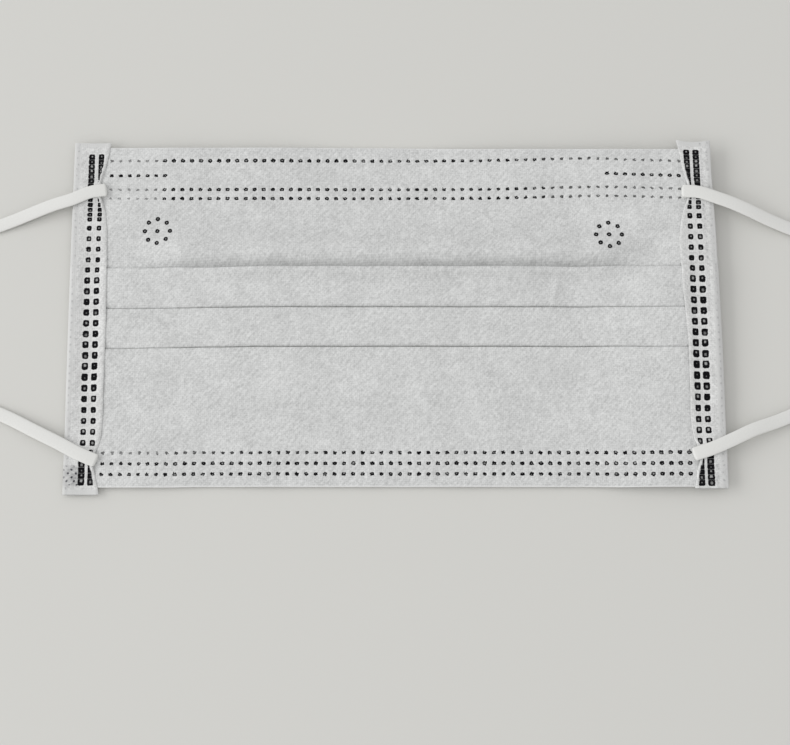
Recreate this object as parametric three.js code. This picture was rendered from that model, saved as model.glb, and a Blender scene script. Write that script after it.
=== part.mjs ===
// A flat-folded face mask with three pleats and two ear loops, lying with the wearer's face up.
// Millimetres. +X runs along the mask's width, +Y towards its nose edge, +Z up.
// The origin is on the floor under the middle of the mask, leaving the ear loops out.
import * as THREE from 'three';

// ---- driving dimensions -------------------------------------------------------------------

const WIDTH = 175;              // over the outer folds of the two side bindings
const NOSE_HEM = 47.9;          // y of the cloth's nose edge
const CHIN_HEM = -47.0;         // y of its chin edge
const WALL = 1.0;               // thickness of every cloth wall
const GAP = 0.3;                // between layers of cloth, and between pieces
const LAYER = WALL + GAP;       // from one layer of cloth to the next

const PLEATS = [                // y of each visible fold, and how far below it the hidden one lies
  { name: 'upper', fold: 13.15, depth: 10.1 },
  { name: 'middle', fold: 1.45, depth: 9.4 },
  { name: 'lower', fold: -9.6, depth: 9.8 },
];
const LAST_FALL = 5.5;          // length over which the sheet comes down past the lower pleat

const BINDING_WIDTH = 9.4;      // from a binding's outer fold to its inner edge
const BAND = { width: 3.6, thickness: 1.4, corner: 0.5 };    // section of the flat elastic
const TAIL = 4.0;               // length of elastic held under a binding
// The elastic's turn over a binding's edge: the radius of its middle line and of its outside.
const FOLD_RADIUS = (BAND.thickness + WALL) / 2 + GAP;
const FOLD_REACH = FOLD_RADIUS + BAND.thickness / 2;

// Heights, on a binding, of what it holds.
const SEAT = WALL + GAP;                        // underside of the cloth on the bottom flap
const FLAP_FLAT = SEAT + LAYER;                 // underside of the top flap on one layer of cloth
const FLAP_PLEATED = SEAT + 3 * LAYER;          // ... on a pleat's three layers
const TAIL_MIDDLE = FLAP_FLAT + BAND.thickness / 2;
const FLAP_TAIL = FLAP_FLAT + BAND.thickness + GAP;   // ... on the elastic's tail
const RUN_MIDDLE = TAIL_MIDDLE + 2 * FOLD_RADIUS;     // middle of the elastic passing back over it

// Ends of the four tails: where each turn's outermost point lies, and the direction, in degrees
// from straight out sideways, in which the elastic leaves over the binding.
const TURNS = {
  left: { nose: { out: 77.9, y: 34.15, lean: -10 }, chin: { out: 77.7, y: -41.0, lean: 27 } },
  right: { nose: { out: 78.6, y: 33.7, lean: -4 }, chin: { out: 77.8, y: -39.35, lean: 19 } },
};

const PAPER_GREY = 0xcbccca;
const BINDING_GREY = 0xd7d8d6;
const ELASTIC_WHITE = 0xe8e8e5;

const ease = (t) => THREE.MathUtils.smoothstep(t, 0, 1);
const fabric = (color) => new THREE.MeshStandardMaterial({ color, roughness: 0.9, metalness: 0 });

// ---- folded cloth ---------------------------------------------------------------------------

// Unit normals of an open profile of [a, b] points: the direction of travel turned a quarter
// anticlockwise, taken between the neighbours of each point.
function profileNormals(points) {
  return points.map((p, i) => {
    const before = points[Math.max(i - 1, 0)];
    const after = points[Math.min(i + 1, points.length - 1)];
    return new THREE.Vector2(before.y - after.y, after.x - before.x).normalize();
  });
}

// A closed wall of cloth. `sections` holds one profile of middle-line points for each station,
// all of the same length, and `place(section, a, b)` turns a profile's own two coordinates into
// a point of the object. Each side of the wall lies half its thickness off the middle line.
function clothWall(sections, place) {
  const rows = sections.length;
  const columns = sections[0].length;
  const positions = [];
  sections.forEach((points, row) => {
    const normals = profileNormals(points);
    points.forEach((point, column) => {
      for (const side of [-1, 1]) {
        const offset = normals[column].clone().multiplyScalar(side * WALL / 2);
        positions.push(...place(row, point.x + offset.x, point.y + offset.y));
      }
    });
  });

  const id = (row, column, side) => (row * columns + column) * 2 + side;
  const index = [];
  const quad = (a, b, c, d) => index.push(a, b, c, a, c, d);
  for (let row = 0; row < rows - 1; row++) {
    for (let column = 0; column < columns - 1; column++) {
      quad(id(row, column, 1), id(row + 1, column, 1), id(row + 1, column + 1, 1), id(row, column + 1, 1));
      quad(id(row, column, 0), id(row, column + 1, 0), id(row + 1, column + 1, 0), id(row + 1, column, 0));
    }
    const last = columns - 1;
    quad(id(row, 0, 0), id(row + 1, 0, 0), id(row + 1, 0, 1), id(row, 0, 1));
    quad(id(row, last, 1), id(row + 1, last, 1), id(row + 1, last, 0), id(row, last, 0));
  }
  for (let column = 0; column < columns - 1; column++) {
    const end = rows - 1;
    quad(id(0, column, 0), id(0, column, 1), id(0, column + 1, 1), id(0, column + 1, 0));
    quad(id(end, column, 0), id(end, column + 1, 0), id(end, column + 1, 1), id(end, column, 1));
  }
  return facingOut(positions, index);
}

// The geometry of a closed mesh, with every face turned round if its volume comes out negative.
function facingOut(positions, index) {
  const corner = (i) => new THREE.Vector3().fromArray(positions, 3 * i);
  let volume = 0;
  for (let i = 0; i < index.length; i += 3) {
    volume += corner(index[i]).dot(corner(index[i + 1]).cross(corner(index[i + 2])));
  }
  const geometry = new THREE.BufferGeometry();
  geometry.setAttribute('position', new THREE.Float32BufferAttribute(positions, 3));
  geometry.setIndex(volume > 0 ? index : index.reverse());
  geometry.computeVertexNormals();
  return geometry;
}

// ---- the mask's cloth -------------------------------------------------------------------------

const RISE_START = 20;                          // y where the nose edge begins to lift
const RISE_STEPS = [43, 38, 33, 28, 22];        // y of the profile's points along that lift

// Profile of the sheet from nose edge to chin edge, in (y, z). At each pleat the sheet runs down
// on the lowest level, turns back up on the middle one, turns again at the visible fold, and
// comes down on the top one. It then drops to the lowest level, close before the next pleat.
function sheetProfile() {
  const [low, middle, high] = [0, 1, 2].map((level) => WALL / 2 + level * LAYER);
  const turn = LAYER / 2;
  const quarter = Math.PI / 2;
  const path = new THREE.Path().moveTo(NOSE_HEM, low);
  for (const y of RISE_STEPS) path.lineTo(y, low);
  for (const { name, fold, depth } of PLEATS) {
    const hidden = fold - depth;
    const hiddenTurn = hidden + WALL / 2 + turn;
    const visibleTurn = fold - WALL / 2 - turn;
    path.lineTo(hiddenTurn, low);
    path.absarc(hiddenTurn, low + turn, turn, -quarter, -3 * quarter, true);
    path.lineTo(visibleTurn, middle);
    path.absarc(visibleTurn, middle + turn, turn, -quarter, quarter, false);
    if (name === 'lower') {
      const landing = hidden - LAST_FALL;
      const halfway = (hidden - GAP + landing) / 2;
      path.lineTo(hidden - GAP, high);
      path.bezierCurveTo(halfway, high, halfway, low, landing, low);
    } else {
      const drop = hidden - GAP - WALL / 2;
      path.lineTo(drop + turn, high);
      path.absarc(drop + turn, high - turn, turn, quarter, 2 * quarter, false);
      path.lineTo(drop, low + turn);
      path.absarc(drop - turn, low + turn, turn, 0, -quarter, true);
    }
  }
  path.lineTo(CHIN_HEM, low);
  return path.getPoints(3);
}

// The sheet lies on the floor in the middle and rises onto the bindings' bottom flaps at both
// sides. The nose edge also lifts a little beyond the middle, most at the wearer's left.
const SHEET_STATIONS = [
  { x: -86.1, rise: 0 }, { x: -77, rise: 0 }, { x: -72, rise: 0.5 }, { x: -66, rise: 1.1 },
  { x: -60, rise: 1.5 }, { x: -48, rise: 1.8 }, { x: -34, rise: 1.4 }, { x: -18, rise: 0.5 },
  { x: 0, rise: 0 }, { x: 18, rise: 0.3 }, { x: 34, rise: 1.3 }, { x: 48, rise: 2.2 },
  { x: 58, rise: 2.4 }, { x: 66, rise: 1.7 }, { x: 72, rise: 0.8 }, { x: 77, rise: 0 },
  { x: 86.1, rise: 0 },
];
const FLOOR_HALF = 58;                          // the sheet lies on the floor out to this x
const SEAT_HALF = 77;                           // and on the bottom flaps from this one
const BINDING_INNER = WIDTH / 2 - BINDING_WIDTH;

function maskBody() {
  const profile = sheetProfile();
  const place = (row, y, z) => {
    const { x, rise } = SHEET_STATIONS[row];
    const side = SEAT * ease((Math.abs(x) - FLOOR_HALF) / (SEAT_HALF - FLOOR_HALF));
    const nose = rise * ease((y - RISE_START) / (NOSE_HEM - RISE_START));
    return [x, y, z + side + nose];
  };
  return new THREE.Mesh(clothWall(SHEET_STATIONS.map(() => profile), place), fabric(PAPER_GREY));
}

// ---- side bindings ------------------------------------------------------------------------------

const RAMP = 3.4;               // length over which the top flap climbs onto something
const NOTCH = 2.6;              // how far the elastic pulls the flap's inner edge outwards
const CREASE = 0.1;             // radius inside the strip's outer fold

// What the top flap climbs over, as stretches along y: the pleats and the two elastic tails.
function flapBlocks(turns) {
  const tails = [turns.chin, turns.nose].map(({ y, lean }) => {
    const slope = Math.sin(THREE.MathUtils.degToRad(lean));
    const ends = [FOLD_RADIUS, FOLD_REACH + TAIL].map((along) => y + slope * along);
    return {
      low: Math.min(...ends) - BAND.width / 2 - GAP,
      high: Math.max(...ends) + BAND.width / 2 + GAP,
      climb: FLAP_TAIL - FLAP_FLAT,
      notch: NOTCH,
    };
  });
  const pleats = {
    low: PLEATS.at(-1).fold - PLEATS.at(-1).depth - LAST_FALL / 2,
    high: PLEATS[0].fold + GAP,
    climb: FLAP_PLEATED - FLAP_FLAT,
    notch: 0,
  };
  return [tails[0], pleats, tails[1]];
}

// How far a block acts at y: 1 along it, easing to 0 over a ramp on both sides.
const reach = ({ low, high }, y) => ease(1 - Math.max(low - y, y - high, 0) / RAMP);

// A strip folded round one side of the mask: the bottom flap, the outer fold and the top flap,
// whose height and inner edge change along y with what lies under it.
function sideBinding(sign, low, high, turns) {
  const blocks = flapBlocks(turns);
  const ys = [low, (low + blocks[0].low - RAMP) / 2];
  for (const block of blocks) {
    const middle = (block.low + block.high) / 2;
    ys.push(block.low - RAMP, block.low - RAMP / 2, block.low, middle);
    ys.push(block.high, block.high + RAMP / 2, block.high + RAMP);
  }
  ys.push((high + blocks[2].high + RAMP) / 2, high);

  const outside = WIDTH / 2 - WALL / 2;
  const bend = WALL / 2 + CREASE;
  const sections = ys.map((y) => {
    const flap = FLAP_FLAT + Math.max(...blocks.map((block) => block.climb * reach(block, y))) + WALL / 2;
    const inner = BINDING_INNER + Math.max(...blocks.map((block) => block.notch * reach(block, y)));
    const path = new THREE.Path().moveTo(BINDING_INNER + 1, WALL / 2);
    path.lineTo(outside - bend, WALL / 2);
    path.absarc(outside - bend, WALL / 2 + bend, bend, -Math.PI / 2, 0, false);
    path.lineTo(outside, flap - bend);
    path.absarc(outside - bend, flap - bend, bend, 0, Math.PI / 2, false);
    path.lineTo((outside + inner) / 2, flap);
    path.lineTo(inner, flap);
    return path.getPoints(2);
  });
  const place = (row, out, z) => [sign * out, ys[row], z];
  return new THREE.Mesh(clothWall(sections, place), fabric(BINDING_GREY));
}

// ---- ear loops ------------------------------------------------------------------------------------

// A curve whose steps are shared out evenly between its points instead of along its length, so
// that close points, as round a tight turn, get short steps.
class StepwiseCurve extends THREE.CatmullRomCurve3 {
  getUtoTmapping(u) {
    return u;
  }
}

const LEVEL_RUN = 3;            // how far the elastic runs level after the turn
const TURN_STEPS = 4;           // straight steps round the turn

// Points of one end of the elastic, from its tail's end under the flap, inwards to the turn, and
// back over the flap. `out` and `along` run sideways off the mask and along the elastic.
function loopEnd(sign, { out, y, lean }) {
  const angle = THREE.MathUtils.degToRad(lean);
  const at = (along, z) => new THREE.Vector3(
    sign * (out + along * Math.cos(angle)), y + along * Math.sin(angle), z);
  const points = [at(FOLD_REACH + TAIL, TAIL_MIDDLE), at(FOLD_REACH + TAIL / 3, TAIL_MIDDLE)];
  for (let step = 0; step <= TURN_STEPS; step++) {
    const turned = Math.PI * step / TURN_STEPS;
    points.push(at(FOLD_REACH - FOLD_RADIUS * Math.sin(turned),
      TAIL_MIDDLE + FOLD_RADIUS * (1 - Math.cos(turned))));
  }
  points.push(at(FOLD_REACH + LEVEL_RUN, RUN_MIDDLE));
  return points;
}

// Free stretch of each loop, from the nose end out over the floor and back to the chin end.
const FLOOR_LEVEL = BAND.thickness / 2 + GAP / 2;
const LOOP_ROUTES = {
  left: [
    [-88.3, 32.2, 6.25], [-92.9, 31.0, 5.3], [-97.5, 29.4, 3.9], [-103.5, 27.1, 2.3],
    [-110.5, 24.5, FLOOR_LEVEL], [-118.5, 21.8, FLOOR_LEVEL], [-127, 19.4, FLOOR_LEVEL],
    [-135.6, 16.8, FLOOR_LEVEL], [-143.4, 12.9, FLOOR_LEVEL], [-148.8, 6.6, FLOOR_LEVEL],
    [-150.6, -1.4, FLOOR_LEVEL], [-148.4, -9.2, FLOOR_LEVEL], [-142.6, -14.8, FLOOR_LEVEL],
    [-134.6, -17.9, FLOOR_LEVEL], [-126, -20.1, FLOOR_LEVEL], [-117.6, -22.6, FLOOR_LEVEL],
    [-109.6, -25.4, 1.1], [-102, -28.6, 2.6], [-95.6, -31.8, 4.6], [-89.6, -35.0, 6.15],
  ],
  right: [
    [88.0, 31.9, 6.25], [92.2, 30.6, 5.4], [96.8, 29.0, 4.1], [102.6, 26.7, 2.4],
    [109.6, 24.0, FLOOR_LEVEL], [117.6, 21.3, FLOOR_LEVEL], [126, 18.8, FLOOR_LEVEL],
    [134.6, 16.1, FLOOR_LEVEL], [142.4, 12.0, FLOOR_LEVEL], [147.9, 5.6, FLOOR_LEVEL],
    [149.8, -2.4, FLOOR_LEVEL], [147.6, -10.2, FLOOR_LEVEL], [141.8, -15.8, FLOOR_LEVEL],
    [133.9, -19, FLOOR_LEVEL], [125.4, -21.3, FLOOR_LEVEL], [117, -23.7, FLOOR_LEVEL],
    [109, -26.4, 1.1], [101.6, -29.4, 2.6], [95.1, -32.2, 4.6], [89.2, -34.9, 6.15],
  ],
};

// The elastic's section: a flat oval of eight sides, thin way first.
function bandSection() {
  const a = BAND.thickness / 2;
  const b = BAND.width / 2;
  const c = BAND.corner;
  const corners = [
    [a, b - c], [a - c, b], [c - a, b], [-a, b - c], [-a, c - b], [c - a, -b], [a - c, -b], [a, c - b],
  ];
  return new THREE.Shape(corners.map(([x, y]) => new THREE.Vector2(x, y)));
}

function earLoop(sign, turns, route) {
  const points = [
    ...loopEnd(sign, turns.nose),
    ...route.map((point) => new THREE.Vector3(...point)),
    ...loopEnd(sign, turns.chin).reverse(),
  ];
  const geometry = new THREE.ExtrudeGeometry(bandSection(), {
    steps: 2 * (points.length - 1),
    extrudePath: new StepwiseCurve(points),
  });
  return new THREE.Mesh(geometry, fabric(ELASTIC_WHITE));
}

// ---- the object -------------------------------------------------------------------------------------

const mask = new THREE.Group();

const body = maskBody();
body.name = 'mask_body';
mask.add(body);

const SIDES = [
  { name: 'left', sign: -1, low: -49.15, high: 48.95 },
  { name: 'right', sign: 1, low: -47.95, high: 49.15 },
];
for (const { name, sign, low, high } of SIDES) {
  const binding = sideBinding(sign, low, high, TURNS[name]);
  binding.name = `side_binding_${name}`;
  const loop = earLoop(sign, TURNS[name], LOOP_ROUTES[name]);
  loop.name = `ear_loop_${name}`;
  mask.add(binding, loop);
}

export default mask;
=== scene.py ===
import math

import bpy
import numpy as np
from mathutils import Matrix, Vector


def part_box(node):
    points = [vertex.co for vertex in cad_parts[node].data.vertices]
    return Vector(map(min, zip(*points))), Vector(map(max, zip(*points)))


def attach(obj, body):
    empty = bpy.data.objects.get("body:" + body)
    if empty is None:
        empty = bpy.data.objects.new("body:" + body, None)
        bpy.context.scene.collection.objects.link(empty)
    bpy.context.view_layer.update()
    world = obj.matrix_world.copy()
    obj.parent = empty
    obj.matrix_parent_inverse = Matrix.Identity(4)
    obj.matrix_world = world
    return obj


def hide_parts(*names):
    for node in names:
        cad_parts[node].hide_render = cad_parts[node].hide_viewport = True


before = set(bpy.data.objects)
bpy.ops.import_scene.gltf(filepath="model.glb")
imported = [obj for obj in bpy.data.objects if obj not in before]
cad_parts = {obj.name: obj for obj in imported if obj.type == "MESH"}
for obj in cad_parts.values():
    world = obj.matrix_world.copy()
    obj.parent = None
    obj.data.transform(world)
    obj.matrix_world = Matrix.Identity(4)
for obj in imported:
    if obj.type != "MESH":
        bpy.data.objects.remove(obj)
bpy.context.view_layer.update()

# ---- mask body ------------------------------------------------------------------------------------
# The body is one sheet of four plies, non-woven cloth outside and dark carbon cloth within. It is
# folded into three knife pleats and pressed flat. Ultrasonic rollers weld the plies together along
# its nose and chin edges in rows of small dashes.

MM = 0.001                      # sizes below are in millimetres, and meshes are laid down in metres
CLOTH = 0.55                    # thickness of the four plies
LAYER = 0.62                    # from one layer of a pleat to the next
FOLDS = (13.15, 1.75, -9.3)     # y of the three visible folds, from the nose edge down
LAST_PANEL = 11.2               # from the last fold down to where its panel starts to settle
SLIT = 0.11                     # between a fold and the panel above it
SHOULDER = 2.0                  # length over which a panel rolls down into that slit
LAST_FALL = 9.0                 # length over which the sheet settles below the last pleat
LIP = (1.2, 0.1, 0.1)           # how much each visible fold springs up, as a share of its height
HEM_ROW = 0.12                  # width of the rounded rim at the hems

body_low, body_high = (np.array(corner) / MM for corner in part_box("mask_body"))
NOSE_HEM, CHIN_HEM = body_high[1], body_low[1]
SIDE_EDGE = body_high[0]

# Rows of weld dashes: y, a dash's height, the x of the first, the pitch, which are there, and how
# hard the roller pressed them, at a few x.
WELD_ROWS = [
    dict(y=44.1, height=1.0, first=-78.0, pitch=2.482, there=[(0, 64)],
         press=[(-66, 0.5), (-62, 0.98), (-30, 1.0), (0, 0.78), (20, 0.76), (55, 0.58), (75, 0.54)]),
    dict(y=39.8, height=1.0, first=-77.85, pitch=2.476, there=[(0, 6), (55, 63)],
         press=[(-60, 0.76), (60, 0.92)]),
    dict(y=35.75, height=1.0, first=-77.95, pitch=2.478, there=[(0, 64)],
         press=[(-66, 0.46), (-62, 0.9), (-30, 0.92), (0, 0.8), (35, 0.7), (53, 0.56), (75, 0.52)]),
    dict(y=33.15, height=1.0, first=-77.95, pitch=2.478, there=[(0, 64)],
         press=[(-66, 0.44), (-62, 0.86), (-30, 0.88), (0, 0.76), (35, 0.7), (53, 0.56), (75, 0.53)]),
    dict(y=-37.8, height=1.05, first=-75.1, pitch=2.475, there=[(-1, 62)],
         press=[(-64, 0.5), (-58, 0.6), (-17, 0.68), (40, 0.78), (60, 0.82), (72, 0.96)]),
    dict(y=-40.7, height=1.05, first=-75.2, pitch=2.478, there=[(-1, 62)],
         press=[(-64, 0.7), (-58, 0.88), (55, 0.88), (70, 1.0)]),
    dict(y=-43.55, height=1.05, first=-75.3, pitch=2.48, there=[(-1, 62)],
         press=[(-64, 0.7), (-58, 0.8), (55, 0.8), (70, 0.97)]),
]
DASH_DEPTH = 0.2                # how deep the rollers press a dash
CELLS = (-1, 64)                # first and last cell of the weld map across, one for each dash
EDGE_COLUMNS = (6, 7)           # mesh columns between those cells and the left and right edges
RIM = 0.25                      # half a mark, as a share of its cell in the weld map
PRESSED_HALF = 0.16             # half of its pressed floor, on the same scale
PRESSED_HIGH = 0.34             # the same along y, as a share of the dash's height
CELL_HALF = 0.49                # how far a mark's own part of the weld map reaches

# How far the left and the right side stand off the floor, at the chin end and at the nose end.
SIDE_LIFT = {-1: (0.6, 1.5), 1: (2.0, 3.2)}
STRIP = 0.22                    # thickness of a binding's cloth
TOUCH = 0.04                    # left between cloths that touch
FLAT_HALF = 46.0                # the sheet lies on the floor out to this x
SEAT_HALF = 77.5                # and on the bindings' bottom flaps from this one
NOSE_LIFT = {-1: 1.9, 1: 2.4}   # how far the nose edge lifts off the floor, left and right
CHIN_LIFT = 0.3                 # and the chin edge, all along
SWELL = 3.7                     # how far the nose part swells above the first pleat

SHARP_BEND = 60                 # an edge between faces stays sharp from this many degrees on

# Low ridges left by handling: middle, heading in degrees, half length, half width, height.
CREASES = [
    (-43.0, 7.5, 80, 4.5, 2.2, 0.22), (-28.0, 2.0, -45, 6.5, 1.6, 0.2),
    (21.5, 7.0, 85, 5.0, 1.8, 0.22), (43.5, 6.0, 76, 5.0, 0.9, 0.3),
    (47.0, -4.0, -55, 4.0, 1.0, 0.25), (-70.0, -23.0, -48, 6.0, 1.3, 0.3),
    (-52.0, -19.5, -35, 6.0, 1.6, 0.2), (52.5, 36.0, -42, 3.5, 0.8, 0.22),
    (20.0, -4.0, 65, 4.5, 1.2, 0.15), (-18.5, 6.5, -70, 4.0, 0.9, 0.14),
    (-20.0, -16.0, -20, 4.0, 1.4, 0.2), (7.0, 25.0, -50, 8.0, 1.8, 0.14),
]


def ease(t):
    """Goes from 0 to 1 as t does, level at both ends: three t squared less two t cubed."""
    t = np.clip(t, 0, 1)
    return t * t * (3 - 2 * t)


def ripples(x, y, size, seed):
    """Soft unevenness of unit strength: a sum of sixteen sine waves of about that length, whose
    headings and phases come from the seed."""
    count = 16
    draw = np.random.default_rng(seed)
    heading, phase = draw.uniform(0, 2 * np.pi, (2, count))
    wave = 2 * np.pi / (size * draw.uniform(0.7, 1.6, count))
    across = np.multiply.outer(x, wave * np.cos(heading)) + np.multiply.outer(y, wave * np.sin(heading))
    return np.sin(across + phase).sum(-1) / np.sqrt(count / 2)


def along_and_off(x, y, heading):
    """How far a place lies along a heading in degrees, and how far off to its left."""
    turned = math.radians(heading)
    cos, sin = math.cos(turned), math.sin(turned)
    return x * cos + y * sin, y * cos - x * sin


def unit(vectors):
    """Vectors divided by their lengths."""
    return vectors / np.linalg.norm(vectors, axis=-1)[..., None]


def travelled(points):
    """Distance from the first point along a line of points, or along each row of a grid."""
    steps = np.linalg.norm(np.diff(points, axis=-2), axis=-1)
    return np.insert(steps.cumsum(-1), 0, 0, -1)


def line(start, end, step):
    """Points of a straight run, about a step apart, without the last one."""
    start, end = np.array(start), np.array(end)
    count = max(int(round(np.linalg.norm(end - start) / step)), 1)
    return start + np.linspace(0, 1, count, endpoint=False)[:, None] * (end - start)


def arc(centre, radius, start, end, count):
    """Points of an arc, from the start angle towards the end angle in degrees, without the last."""
    angle = np.radians(np.linspace(start, end, count, endpoint=False))
    return np.array(centre) + radius * np.stack([np.cos(angle), np.sin(angle)], 1)


def curve(start, handle_a, handle_b, end, count):
    """Points of a cubic Bezier curve, without the last one."""
    t = np.linspace(0, 1, count, endpoint=False)[:, None]
    parts = (1 - t) ** 3, 3 * t * (1 - t) ** 2, 3 * t ** 2 * (1 - t), t ** 3
    return sum(part * np.array(point) for part, point in zip(parts, (start, handle_a, handle_b, end)))


def welded_run(start, end, step):
    """Stations of y along a level part of the sheet, about a step apart, with five close ones
    over each row of dashes: its middle, its floor's edges and its rims."""
    inside = [row for row in WELD_ROWS if min(start, end) < row["y"] < max(start, end)]
    close = np.array([-0.5, -PRESSED_HIGH, 0, PRESSED_HIGH, 0.5])
    stations = np.concatenate([row["y"] + close * row["height"] for row in inside])
    plain = np.linspace(start, end, int(abs(end - start) / step), endpoint=False)
    clear = np.abs(plain[:, None] - stations).min(1) > step / 3
    return np.sort(np.concatenate([plain[clear], stations]))[::-1]


def sheet_profile():
    """Middle line of the folded sheet in (y, z), from nose edge to chin edge: for each pleat it
    runs down on the lowest level, back up on the middle one, round the visible fold, down
    on the top level, and over a rounded shoulder to the lowest level again."""
    low, middle, high = (CLOTH / 2 + level * LAYER for level in range(3))
    turn = LAYER / 2
    level_run = np.append(NOSE_HEM, welded_run(NOSE_HEM - HEM_ROW, FOLDS[0], 1.5))
    pieces = [np.stack([level_run, np.full(len(level_run), low)], 1)]
    above = FOLDS[0]
    for fold, below in zip(FOLDS, [*FOLDS[1:], None]):
        drop = (below or fold - LAST_PANEL) + SLIT + CLOTH / 2
        hidden = drop + SHOULDER + turn
        visible = fold - CLOTH / 2 - turn
        pieces += [
            line((above, low), (hidden, low), 3),
            arc((hidden, low + turn), turn, -90, -270, 4),
            line((hidden, middle), (visible, middle), 3),
            arc((visible, middle + turn), turn, -90, 90, 9),
        ]
        if below is None:
            halfway = drop - LAST_FALL / 2
            landing = (drop - LAST_FALL, low)
            pieces += [
                line((visible, high), (drop, high), 1.5),
                curve((drop, high), (halfway, high), (halfway, low), landing, 9),
            ]
        else:
            brink = (drop + SHOULDER, high)
            handles = (drop + 0.9, high - 0.02), (drop + 0.1, high - 0.2)
            bottom = (drop, low + 2 * turn)
            pieces += [
                line((visible, high), brink, 1.3),
                curve(brink, *handles, bottom, 9),
                line(bottom, (drop, low + turn), 1),
                arc((drop - turn, low + turn), turn, 0, -90, 3),
            ]
            above = drop - turn
    level_run = welded_run(landing[0], CHIN_HEM, 1.6)
    pieces.append(np.stack([level_run, np.full(len(level_run), low)], 1))
    pieces.append([(CHIN_HEM + HEM_ROW, low), (CHIN_HEM, low)])
    return np.concatenate(pieces)


def outward(points):
    """Unit normals of a profile, or of each row of a grid: the direction between each point's
    neighbours, turned a quarter so that it points up where the profile's first number falls."""
    along = np.gradient(points, axis=-2)
    return unit(np.stack([along[..., 1], -along[..., 0]], -1))


def nearest_row(y):
    """Number of the weld row nearest to each y, and how many dash heights above it y lies."""
    gaps = y[:, None] - np.array([row["y"] for row in WELD_ROWS])
    row = np.abs(gaps).argmin(1)
    return row, gaps[np.arange(len(y)), row] / np.array([one["height"] for one in WELD_ROWS])[row]


def side_lift(side, y):
    """How far a binding's bottom flap is off the floor: the chin end's lift, passing to the nose
    end's from a little below the middle."""
    chin, nose = SIDE_LIFT[side]
    return chin + (nose - chin) * ease((y + 20) / 68)


def lie(x, y):
    """Height of the sheet's lowest level over the floor. It lies on the floor in the middle and
    rises to the bindings' bottom flaps at the sides. The nose edge lifts beyond the middle, the
    chin edge a little all along, the nose part swells above the first pleat, and creases and
    ripples are added."""
    out = np.abs(x)
    lift = np.where(x < 0, side_lift(-1, y), side_lift(1, y)) + STRIP + TOUCH
    side = lift * ease((out - FLAT_HALF) / (SEAT_HALF - FLAT_HALF))
    hump = np.where(x < 0, NOSE_LIFT[-1], NOSE_LIFT[1]) * ease((np.abs(x + 2) - 6) / 34)
    nose = hump * ease((77 - out) / 24) * ease((y - 20) / (NOSE_HEM - 20))
    chin = CHIN_LIFT * ease((-30 - y) / (-30 - CHIN_HEM)) * ease((77 - out) / 17)
    swell = SWELL * ease((y - FOLDS[0] - 0.1) / 3.4) * ease((28 - y) / 12) * ease((72 - out) / 18)
    uneven = 0.07 * ripples(x, y, 34, 3) + 0.035 * ripples(x, y, 13, 4)
    height = side + nose + chin + swell + ease((76 - out) / 14) * (0.18 + uneven)
    for middle_x, middle_y, heading, half_length, half_width, rise in CREASES:
        run, off = along_and_off(x - middle_x, y - middle_y, heading)
        height = height + rise * np.exp(-(run / half_length) ** 4 - (off / half_width) ** 2)
    return height


def puff(x):
    """How thick the layers lie: loose in the middle, pressed thinner at the sides, thinnest where
    the strips' welds go through them, and a little thicker again at their edge."""
    out = np.abs(x)
    sides, welds, edge = ease((out - 30) / 46), ease((out - SEAT_HALF) / 4.5), ease((out - 83.4) / 2.8)
    return 1.25 - 0.6 * sides - 0.4 * welds + 0.24 * edge


def drift(x, y):
    """How far the sheet lies from its place in y. The pleats run a little askew, and the first
    fold's raised edge lies back. The middle of the nose part is pushed up towards the right, and
    its hem and right end down, as are both chin ends. The slits below the shoulders close
    towards the sides."""
    out = np.abs(x)
    askew = 0.46 * ease((x + 78) / 45) - 0.28 - 0.2 * ease((x - 60) / 10)
    pleats = askew * ease((30 - np.abs(y)) / 12)
    edge = 0.46 * np.exp(-((y - FOLDS[0]) / 3) ** 2) * ease((64 - out) / 14)
    pushed = 0.75 * np.exp(-((x - 56) / 20) ** 2) * ease((y - 16) / 12) * ease((NOSE_HEM - y) / 4)
    hem = 0.45 * ease((x + 10) / 40) * ease((y - NOSE_HEM + 4) / 4)
    nose_end = 0.3 * ease((x - 52) / 12) * ease((NOSE_HEM - y) / 1.5) * ease((y - 36) / 5)
    chin_ends = 0.2 * ease((out - 50) / 12) * ease((-30 - y) / 7)
    slits = 0.08 * sum((y > fold) * ease((fold + 2.4 - y) / 1.2) for fold in FOLDS[1:])
    return pleats + pushed - edge - hem - nose_end - chin_ends - slits * ease((out - 45) / 25)


def new_object(name, data):
    """A new object in the scene, from its mesh, lamp or camera."""
    thing = bpy.data.objects.new(name, data)
    bpy.context.scene.collection.objects.link(thing)
    return thing


def fill_mesh(name, points, faces, maps=None, values=None):
    """A new object from points in millimetres, faces of any number of corners, UV maps given for
    each point and single values given for each point."""
    mesh = bpy.data.meshes.new(name)
    mesh.from_pydata((points * MM).tolist(), [], faces)
    corner = np.empty(len(mesh.loops), int)
    mesh.loops.foreach_get("vertex_index", corner)
    for title, uv in (maps or {}).items():
        mesh.uv_layers.new(name=title).uv.foreach_set("vector", uv[corner].astype(np.float32).ravel())
    for title, value in (values or {}).items():
        mesh.attributes.new(title, "FLOAT", "POINT").data.foreach_set("value", value.astype(np.float32))
    mesh.shade_smooth()
    mesh.set_sharp_from_angle(angle=math.radians(SHARP_BEND))
    mesh.validate()
    return new_object(name, mesh)


def grid_faces(rows, columns, first, turned):
    """Corner numbers of the quads of a grid whose points are numbered row by row from `first`,
    facing up, or down where the grid is turned."""
    corner = first + np.arange(rows * columns).reshape(rows, columns)
    quads = np.stack([corner[:-1, :-1], corner[1:, :-1], corner[1:, 1:], corner[:-1, 1:]], -1)
    quads = quads.reshape(-1, 4)
    return (quads[:, ::-1] if turned else quads).tolist()


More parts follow.
